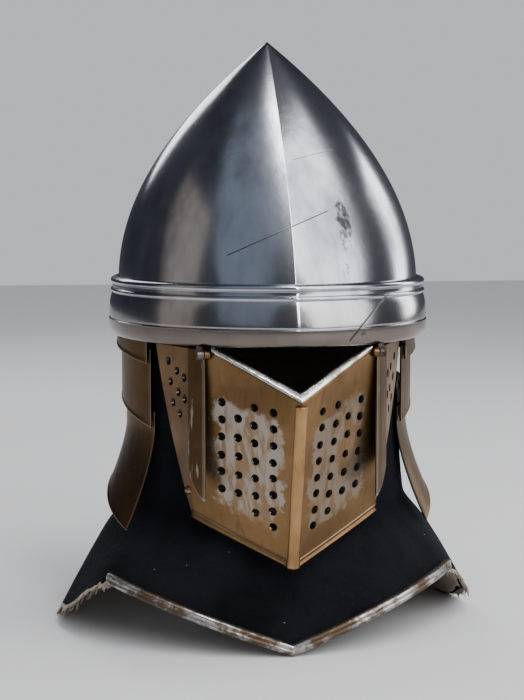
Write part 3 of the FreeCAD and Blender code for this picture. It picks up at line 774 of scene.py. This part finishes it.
def punch_set():
    hand = random.Random(7)
    bm = bmesh.new()
    for side in (-1, 1):
        for x_top, x_foot, z_top, z_foot, count in BREATH_COLUMNS:
            for i in range(count):
                share = i / (count - 1)
                x = between(x_top, x_foot, share) + hand.uniform(-0.35, 0.35)
                z = between(z_top, z_foot, share) + hand.uniform(-0.4, 0.4)
                normal = Vector((-side * prow_slope(z), 1, LEAN))
                punch(bm, (side * x, prow_y(x, z), z), normal, hand.uniform(2.85, 3.1), 12)
        for share, z_top, pitch, count in SIDE_COLUMNS:
            for i in range(count):
                z = z_top - pitch * i + hand.uniform(-0.3, 0.3)
                rear, front = wall_rear(z), wall_front(z)
                x, y = between(rear[0], front[0], share), between(rear[1], front[1], share)
                punch(bm, (side * x, y, z), Vector((side * 0.9, -0.437, 0)),
                      hand.uniform(2.85, 3.1), 9)
        bmesh.ops.create_cube(bm, size=1.0, matrix=Matrix.Translation(
            at(side * 62.3, -104.5, 213.5)) @ Matrix.Diagonal((0.005, 0.020, 0.020, 1)))
        punch(bm, (side * 60.25, HINGE_Y, HINGE_Z), Vector((side, 0, 0)), 3.25, 9.1)
    return bm


# %% Punch and fit the face plate
def face_plate():
    blank = plain_object("face_blank", bent_grid(132, 84, face_point, (0.24, 0.14), (0, 0, 140)))
    sheet = blank.modifiers.new("wall", "SOLIDIFY")
    sheet.thickness, sheet.offset, sheet.use_even_offset = 0.0021, -1, True
    cutters = plain_object("punches", punch_set())
    cut = blank.modifiers.new("breaths", "BOOLEAN")
    cut.operation, cut.object, cut.solver = "DIFFERENCE", cutters, "EXACT"
    cut.use_self = True
    bpy.context.view_layer.update()
    punched = bmesh.new()
    punched.from_object(blank, bpy.context.evaluated_depsgraph_get())
    for spare in (blank, cutters):
        bpy.data.objects.remove(spare)
    bmesh.ops.dissolve_degenerate(punched, edges=punched.edges, dist=0.00003)
    return finish_piece("face_plate_punched", punched, FACE_BRASS, "visor", ["face_plate"],
                        edge=0.3)


face_plate()

# %% [markdown]
# ## Tubes and rounded bars
# The rib along the prow, the rims and the straps all follow a line with one section. One
# helper carries a section along a line: the grid's one direction goes round the section and
# the other goes along the line. Its ends are then filled.

# %% Carry a section along a line
def close_ends(bm):
    bmesh.ops.holes_fill(bm, edges=[e for e in bm.edges if e.is_boundary], sides=0)


def carried(line, section, along_count, round_count):
    """line(v) gives a place and the two directions of the section there, in millimetres."""
    def point(u, v):
        place, right, up = line(v)
        a, b = section(u, v)
        return (place + right * a + up * b) * 0.001

    bm = placed_grid(round_count, along_count, point, (0.02, 0.2))
    bmesh.ops.remove_doubles(bm, verts=bm.verts, dist=0.00001)
    close_ends(bm)
    bmesh.ops.recalc_face_normals(bm, faces=bm.faces)
    return bm


def rounded_bar(half_width, half_thick, power=4.0):
    """A section between an ellipse and a rectangle."""
    def section(u, v):
        turn = 2 * math.pi * u
        c, s = math.cos(turn), math.sin(turn)
        grow = (abs(c) ** power + abs(s) ** power) ** (-1 / power)
        return c * grow * half_width, s * grow * half_thick
    return section


# %% [markdown]
# ## Nose rib and sight rim
# A half-round rib covers the seam where the two panels meet. Above it, a steel edge follows
# the V of the sight, thickest at its middle. Both are bars carried along a line.

# %% Nose rib
def nose_line(v):
    z = between(62.6, 177.2, v)
    y = PROW_Y + LEAN * (PROW_TOP - z) + 1.6
    return Vector((0, y, z)), Vector((1, 0, 0)), Vector((0, -1, -LEAN)).normalized()


def nose_section(u, v):
    turn = 2 * math.pi * u
    swell = 1.0 + 0.16 * soft_step((0.10 - v) / 0.10)
    return 4.2 * swell * math.cos(turn), 3.1 * swell * math.sin(turn)


finish_piece("nose_rib", carried(nose_line, nose_section, 48, 24), RIB_BRASS,
             "visor", [], edge=0.5)


# %% Sight rim
def sight_line(v):
    x = between(-55.0, 55.0, v)
    reach = 4.6 - 2.0 * abs(x) / 55.6
    z = PROW_TOP + SIGHT_RISE * abs(x)
    y = prow_y(x, z)
    place = Vector((x, y + 1.4 + 0.72 * reach, z + 0.72 * reach))
    return place, Vector((0, 0.78, 0.62)), Vector((0, -0.62, 0.78))


def sight_section(u, v):
    reach = 4.6 - 2.0 * abs(v - 0.5) * 2
    a, b = rounded_bar(reach, 1.9, 3.2)(u, v)
    wear = noise.noise(Vector((v * 22, u * 2, 3))) * 0.22
    return a, b + wear


finish_piece("sight_rim_rolled", carried(sight_line, sight_section, 120, 24), RIM_STEEL,
             "visor", ["sight_rim"], edge=0.5)

# %% [markdown]
# ## Corner straps
# An upright strip stands at each corner of the face plate. It stiffens the plate and its top
# carries the visor's knuckle, the short tube that turns on the hinge pin. Its foot is cut to
# a slanting curve, and its front edge is turned into a bead, which shines.

# %% Corner straps
def corner_strap(side):
    front, rear = Vector((59.0, -108.5, 0)), Vector((69.0, -96.5, 0))
    out = Vector((0.768, -0.640, 0))

    def point(u, v):
        low = 108.6 + 0.95 * u + 18.4 * u * u
        place = front.lerp(rear, u)
        place.z = between(low, 211.4, v ** 1.15)
        bead = 0.7 * math.exp(-((u * 15.6 - 1.3) / 0.9) ** 2)
        place += out * (bead + 0.35 * math.sin(math.pi * u))
        return at(side * place.x, place.y, place.z)

    bm = bent_grid(20, 60, point, (0.016, 0.10), (0, 0, 150))
    return finish_piece("strap_strip_" + side_name(side), bm, LAME_BRASS, "visor",
                        ["corner_strap_" + side_name(side)], wall=1.7, edge=0.4)


def knuckle(side):
    def line(v):
        x = side * between(56.1, 59.9, v)
        return Vector((x, HINGE_Y, HINGE_Z)), Vector((0, 1, 0)), Vector((0, 0, 1))

    bm = carried(line, rounded_bar(2.95, 2.95, 2.0), 6, 28)
    return finish_piece("visor_knuckle_" + side_name(side), bm, KNUCKLE_BRASS, "visor", [],
                        edge=0.4)


for side in (-1, 1):
    corner_strap(side)
    knuckle(side)

# %% [markdown]
# ## Ear lames
# Three plates overlap like roof slates from the band down to the shoulder, and the lowest one
# flares outwards. Each is a strip of a rounded wall between two slanting edges. A thin bead
# runs down its front edge and along its foot, where the smith turned the sheet over.

# %% Ear lames
LAME_FRONT, LAME_REAR = 57.5, 98.0      # degrees round the helmet from the keel
LAMES = {
    "upper": (0.0, (212.4, 212.4), (196.5, 205.5), 10),
    "middle": (-3.2, (206.5, 211.8), (151.0, 166.0), 26),
    "lower": (-6.4, (162.0, 177.0), (79.5, 101.0), 56),
}


def ear_point(degrees, z, offset):
    turn = math.radians(degrees)
    out = 15.0 * (max(0.0, 150.0 - z) / 50.0) ** 1.5 + offset
    return Vector(((110.5 + out) * math.sin(turn),
                   CROWN_Y - (88.0 + 0.5 * out) * math.cos(turn), z))


def lame(side, name):
    offset, top_edge, foot_edge, rows = LAMES[name]

    def point(u, v):
        degrees = between(LAME_FRONT, LAME_REAR, u ** 1.25)
        share = (degrees - LAME_FRONT) / 32.5
        top, foot = between(*top_edge, share), between(*foot_edge, share)
        z = between(foot, top, v ** 1.2)
        from_front = (degrees - LAME_FRONT) * 1.85
        bead = 0.7 * math.exp(-((from_front - 1.2) / 0.9) ** 2)
        bead = max(bead, 0.6 * math.exp(-((z - foot - 1.2) / 0.9) ** 2))
        place = ear_point(degrees, z, offset - 0.15 + bead * 0.9)
        return at(side * place.x, place.y, z)

    label = side_name(side)
    bm = bent_grid(44, rows, point, (0.08, 0.10), (0, -7, 140))
    body = "skull" if name == "upper" else "ear_%s_%s" % (name, label)
    return finish_piece("lame_%s_%s" % (name, label), bm, LAME_BRASS, body,
                        ["ear_%s_%s" % (name, label)], wall=1.7, edge=0.45)


for side in (-1, 1):
    for name in LAMES:
        lame(side, name)

# %% [markdown]
# ## Collar
# The collar is a thick felt skirt. It starts at a leather strip inside the skull, hugs the
# neck, and flares out to its hem, which rises in a curve at each side. The hem's height and
# the felt's section are given by a direction round the collar, 0 in front and 180 behind.
# Stiff felt of this weight hardly folds, so its gentle waves are moved in, in code.

# %% The shape of the collar
RIM_RADIUS = 4.2
RIM_END = 52.0              # degrees from the front to the end of the binding
HEM_WAVE, SIDE_HEM = 56.0, 17.0


def hem_height(degrees):
    if degrees <= RIM_END:
        return HEM_WAVE * math.sin(math.radians(degrees))
    corner = HEM_WAVE * math.sin(math.radians(RIM_END))
    if degrees <= 80.0:
        return corner + (SIDE_HEM - corner) * soft_step((degrees - RIM_END) / 28.0)
    return SIDE_HEM * (1 - soft_step((degrees - 80.0) / 22.0))


def hem_point(degrees):
    turn = math.radians(degrees)
    reach = 113.5 if degrees <= 90 else 147.6
    return Vector((155.0 * math.sin(turn), -reach * math.cos(turn), hem_height(degrees)))


def outward(degrees):
    turn = math.radians(degrees)
    return Vector((math.sin(turn), -math.cos(turn), 0))


def collar_line(degrees, inset):
    """Points from the neck down to the hem."""
    turn = math.radians(degrees)
    s, c = math.sin(turn), math.cos(turn)
    opening = soft_step((degrees - 36.0) / 26.0)
    top_z = 90.0 + 119.0 * opening
    behind = soft_step((degrees - 84.0) / 12.0)
    neck, waist = between(92.0, 101.0, behind), between(80.0, 106.0, behind)
    points = []
    for share in (0.0, 0.3, 0.6, 0.85, 1.0):
        z = top_z + (92.0 - top_z) * share
        blend = ((209.0 - z) / 117.0) ** 2
        half = between(96.0, 104.0, blend) - inset
        points.append(Vector((half * s, -6.0 - (between(neck, waist, blend) - inset) * c, z)))
    if opening < 0.02:
        points = [points[0] + Vector((0, -0.01 * k, -0.5 * k)) for k in range(5)]
    hem, foot = hem_point(degrees), points[-1]
    for share in (0.25, 0.5, 0.75, 1.0):
        spread = share ** 0.8
        points.append(Vector((between(foot.x, hem.x - inset * s, spread),
                              between(foot.y, hem.y + inset * c, spread),
                              between(foot.z, hem.z, share))))
    return points


def run_lengths(points):
    return [(b - a).length for a, b in zip(points, points[1:])]


def on_line(points, share):
    """The point at this share of the line's length."""
    runs = run_lengths(points)
    left = share * sum(runs)
    for a, b, run in zip(points, points[1:], runs):
        if left <= run:
            return a.lerp(b, left / max(run, 0.0001))
        left -= run
    return points[-1].copy()


def collar_point(inset, hem_cut, ragged, ground, wave=1.2):
    """The cloth's point for each share round and up. It never goes lower than ground."""
    def point(u, v):
        side = 1 if u >= 0.5 else -1
        degrees = abs(u - 0.5) * 360.0
        line = collar_line(degrees, inset)
        rag = 0.0
        if degrees > RIM_END:
            open_hem = soft_step((degrees - RIM_END) / 5) * soft_step((128 - degrees) / 20)
            seed = Vector((degrees * side * 0.21, 0, inset))
            rag = ragged * open_hem * (0.55 + noise.noise(seed) + 0.7 * noise.noise(seed * 3.7))
        share = (1 - v) * (1 - (hem_cut + rag) / sum(run_lengths(line)))
        place = on_line(line, share)
        low = soft_step(1 - v)
        swing = noise.noise(Vector((side * degrees * 0.045, v * 1.3, 7.0))) * wave * low
        place += outward(degrees) * (swing - wave * 0.6 * low)
        return at(side * place.x, place.y, max(place.z, ground))
    return point


# %% [markdown]
# The felt and the linen are two sheets with the same shape, one inside the other. The linen
# stops short of the felt behind, but at the open sides it has frayed and hangs below it. Both
# are cut from a ring-shaped pattern, so the area of the cut is less than width times length.

# %% Felt and linen
def cloth_area(piece):
    return sum(face.area for face in piece.data.polygons)


felt_bm = bent_grid(180, 40, collar_point(0.2, 0.2, 1.0, 1.7), (0.84, 0.16), (0, 0, 250))
felt = finish_piece("collar_felt_skirt", felt_bm, COLLAR_FELT, "skull", ["collar_cloth"],
                    wall=3.4, edge=0, smooth=1)
linen_bm = bent_grid(240, 40, collar_point(4.2, 0.3, 2.6, 1.1), (0.82, 0.16), (0, 0, 250))
linen = finish_piece("collar_linen_skirt", linen_bm, LINING_LINEN, "skull", ["collar_lining"],
                     wall=1.0, edge=0, smooth=1)
print("felt", round(cloth_area(felt), 4), "linen", round(cloth_area(linen), 4), "square metres")

# %% [markdown]
# ## Frayed edge
# Where the binding ends, the linen shows below the felt as a torn strip with loose threads.
# The strip is one more bent grid with a ragged foot. The threads are short curves of a few
# points, thinner at their ends, made into one mesh.

# %% Torn strip
def torn_strip(side):
    def point(u, v):
        degrees = between(RIM_END - 1.5, 104.0, u)
        line = collar_line(degrees, 2.6)
        down = (line[-1] - line[-2]).normalized()
        seed = Vector((u * 31.0, side * 3.0, 1.0))
        torn = 3.4 + 4.2 * noise.noise(seed) + 3.0 * noise.noise(seed * 3.1)
        torn = max(0.6, torn) * soft_step(u / 0.04) * soft_step((1 - u) / 0.25)
        curl = 1.2 * noise.noise(seed * 1.7 + Vector((0, v, 0)))
        place = line[-1] + down * between(-6.0, torn, 1 - v)
        place += outward(degrees) * (curl * (1 - v) + 0.9 * (1 - v))
        return at(side * place.x, place.y, max(place.z, 0.5))

    bm = bent_grid(110, 10, point, (0.15, 0.012), (0, 0, 250))
    return finish_piece("hem_fray_" + side_name(side), bm, LINING_LINEN, "skull", [],
                        wall=0.9, edge=0)


# %% Loose threads
def loose_threads(side):
    hand = random.Random(11 + side)
    thread = bpy.data.curves.new("threads", "CURVE")
    thread.dimensions = "3D"
    thread.bevel_depth = 0.00034
    thread.bevel_resolution = 1
    for i in range(64):
        degrees = between(RIM_END, 100.0, hand.random() ** 1.2)
        line = collar_line(degrees, 2.6)
        down = (line[-1] - line[-2]).normalized()
        turn = math.radians(degrees)
        out = outward(degrees)
        sideways = Vector((math.cos(turn), math.sin(turn), 0)) * hand.uniform(-1, 1)
        reach = hand.uniform(3.5, 9.5)
        spline = thread.splines.new("POLY")
        spline.points.add(4)
        for k, knot in enumerate(spline.points):
            share = k / 4
            place = line[-1] - down * 1.5 + (down + sideways * 0.6) * reach * share
            place += out * (0.7 + hand.uniform(-0.6, 1.3) * share)
            place += Vector((0, 0, -2.0)) * share ** 2
            knot.co = (*at(side * place.x, place.y, max(place.z, 0.8)), 1)
            knot.radius = between(1.1, 0.45, share)
    maker = bpy.data.objects.new("threads", thread)
    scene.collection.objects.link(maker)
    bpy.context.view_layer.update()
    bm = bmesh.new()
    bm.from_mesh(bpy.data.meshes.new_from_object(maker))
    bpy.data.objects.remove(maker)
    close_ends(bm)
    return finish_piece("hem_threads_" + side_name(side), bm, LINING_LINEN, "skull", [],
                        edge=0)


frays = [make(side) for side in (-1, 1) for make in (torn_strip, loose_threads)]

# %% [markdown]
# ## Binding of the front hem
# A steel channel is folded over the front hem. Its two lips shine and the dip between them
# stays brown. The channel is a round bar with a groove along its outer face, slightly beaten
# out of true, and it ends a little before the corners of the collar.

# %% Binding
def binding_line(v):
    degrees = between(-RIM_END, RIM_END, v)
    here = hem_point(abs(degrees))
    ahead = hem_point(min(abs(degrees) + 1.0, RIM_END + 1.0))
    side = 1 if degrees >= 0 else -1
    tangent = (ahead - here).normalized()
    tangent = Vector((tangent.x, side * tangent.y, side * tangent.z))
    if abs(degrees) < 0.7:
        tangent = Vector((1, 0, 0))
    out = Vector((0, 0, 1)).cross(tangent).normalized() * -1
    up = tangent.cross(out).normalized()
    if up.z < 0:
        up = -up
    return Vector((side * here.x, here.y, here.z + RIM_RADIUS)), out, up


def binding_section(u, v):
    turn = 2 * math.pi * u
    face = math.atan2(math.sin(turn - 0.15), math.cos(turn - 0.15))
    radius = 4.05 - 1.15 * math.exp(-(face / 0.36) ** 2)
    radius += 0.22 * noise.noise(Vector((v * 38.0, math.cos(turn) * 2, math.sin(turn) * 2)))
    return radius * math.cos(turn), min(radius, 4.15) * math.sin(turn)


finish_piece("hem_binding", carried(binding_line, binding_section, 180, 32), HEM_STEEL,
             "skull", ["collar_rim"], edge=0.3)

# %% [markdown]
# ## Quilted liner
# A linen cap stuffed with tow keeps the skull off the head. It is sewn in gores that run up to
# the crown, with two rows of stitching round it, so it swells between the seams. Its section
# is a closed loop: up the outside, over the crown and down the inside.

# %% Quilted liner
LINER_FOOT, LINER_TOP = 262.0, 361.0


def liner_point(u, v):
    outer = v < 0.5
    rise = v * 2 if outer else (1 - v) * 2
    z = LINER_FOOT + (LINER_TOP - LINER_FOOT) * min(1.0, rise / 0.8)
    inward = soft_step((rise - 0.72) / 0.28) if rise > 0.8 else 0.0
    seam = abs(math.sin(math.pi * 12 * u)) ** 0.5
    row = abs(math.sin(math.pi * 3 * min(1.0, rise / 0.8))) ** 0.5
    puff = min(1.0, seam * (0.45 + 0.55 * row)) * (1 - inward)
    edge = soft_step(rise / 0.05)
    depth = 5.4 + (1 - puff) * 1.2 if outer else between(9.0, 11.2 + 2.6 * puff, edge)
    half, front, back = skull_reach(z)
    shrink = depth * (1 + 0.45 * (z - SPRING_Z) / (APEX_Z - SPRING_Z))
    x, y = outline(u, half - shrink, front - shrink, back - shrink)
    close = 1 - (rise - 0.8) / 0.2 if rise > 0.8 else 1.0
    close = max(0.0, close)
    level = z + (3.0 * (1 - close ** 2)) * (1 if outer else 0.5)
    level = min(level, 361.8) - (0 if outer else 9.0 * edge)
    return at(x * close, CROWN_Y + (y - CROWN_Y) * close, level)


def quilted_liner():
    bm = bmesh.new()
    bmesh.ops.create_grid(bm, x_segments=192, y_segments=60, size=0.5)
    for vert in bm.verts:
        vert.co = liner_point(vert.co.x + 0.5, vert.co.y + 0.5)
    bmesh.ops.remove_doubles(bm, verts=bm.verts, dist=0.00003)
    open_edges = [e for e in bm.edges if e.is_boundary]
    bmesh.ops.bridge_loops(bm, edges=open_edges)
    bmesh.ops.recalc_face_normals(bm, faces=bm.faces)
    return finish_piece("liner_quilted", bm, LINER_LINEN, "skull", ["liner"],
                        edge=0)


quilted_liner()

# %% [markdown]
# ## Chin strap
# One long strap runs under the chin and up to a buckle, and a short one holds the buckle. They
# are flat bars with rounded edges, carried along a smooth line through a few points.

# %% Chin strap
LONG_STRAP = [(88, 240), (80, 200), (73, 165), (66, 130), (46, 97), (0, 84), (-46, 96),
              (-61, 118), (-64.4, 140), (-64.4, 168)]
SHORT_STRAP = [(-88, 240), (-80, 200), (-73.5, 168), (-70.1, 149.5)]


def curve_through(points, share):
    """A smooth curve through the points, as x and z and its direction."""
    step = share * (len(points) - 1)
    i = min(int(step), len(points) - 2)
    t = step - i
    p = [Vector(points[min(max(k, 0), len(points) - 1)]) for k in (i - 1, i, i + 1, i + 2)]
    lead = p[2] - p[0]
    bend = 2 * p[0] - 5 * p[1] + 4 * p[2] - p[3]
    twist = 3 * p[1] - p[0] - 3 * p[2] + p[3]
    place = 0.5 * (2 * p[1] + lead * t + bend * t ** 2 + twist * t ** 3)
    return place, (lead + 2 * bend * t + 3 * twist * t ** 2).normalized()


def strap_line(points, lift):
    def line(v):
        place, run = curve_through(points, v)
        across = Vector((run.y, 0, -run.x))
        middle = Vector((place.x, -9.5, place.y)) + across * lift
        return middle, Vector((0, 1, 0)), across
    return line


for name, points, count in (("chin_strap_long", LONG_STRAP, 120),
                            ("chin_strap_short", SHORT_STRAP, 48)):
    strap = carried(strap_line(points, 1.1), rounded_bar(8.4, 1.05, 7.0), count, 28)
    finish_piece(name + "_leather", strap, LEATHER, "skull", [name], edge=0.4)

# %% [markdown]
# ## Pieces whose shape is already right
# Hinge brackets and pins, rivets, studs, the buckle and the leather strips keep their working
# shape and only get their finish.

# %% Finish the remaining pieces
FINISHES = dict(face_brass=FACE_BRASS, lame_brass=LAME_BRASS, rim_steel=RIM_STEEL,
                hinge_steel=HINGE_STEEL, fittings_brass=FITTINGS, leather=LEATHER,
                skull_steel=SKULL_STEEL)


def finish_remaining():
    slots = {part["node"]: part["material_slot"] for part in frame["record"]["subparts"]}
    done = []
    for name, node in frame["nodes"].items():
        if node.hide_render:
            continue
        node.data.materials.clear()
        node.data.materials.append(FINISHES[slots[name]])
        done.append(name)
    return done


print("kept from the working model:", ", ".join(finish_remaining()))

# %% [markdown]
# ## Last update
# The scene is brought up to date once more.

# %% Bring the scene up to date
bpy.context.view_layer.update()
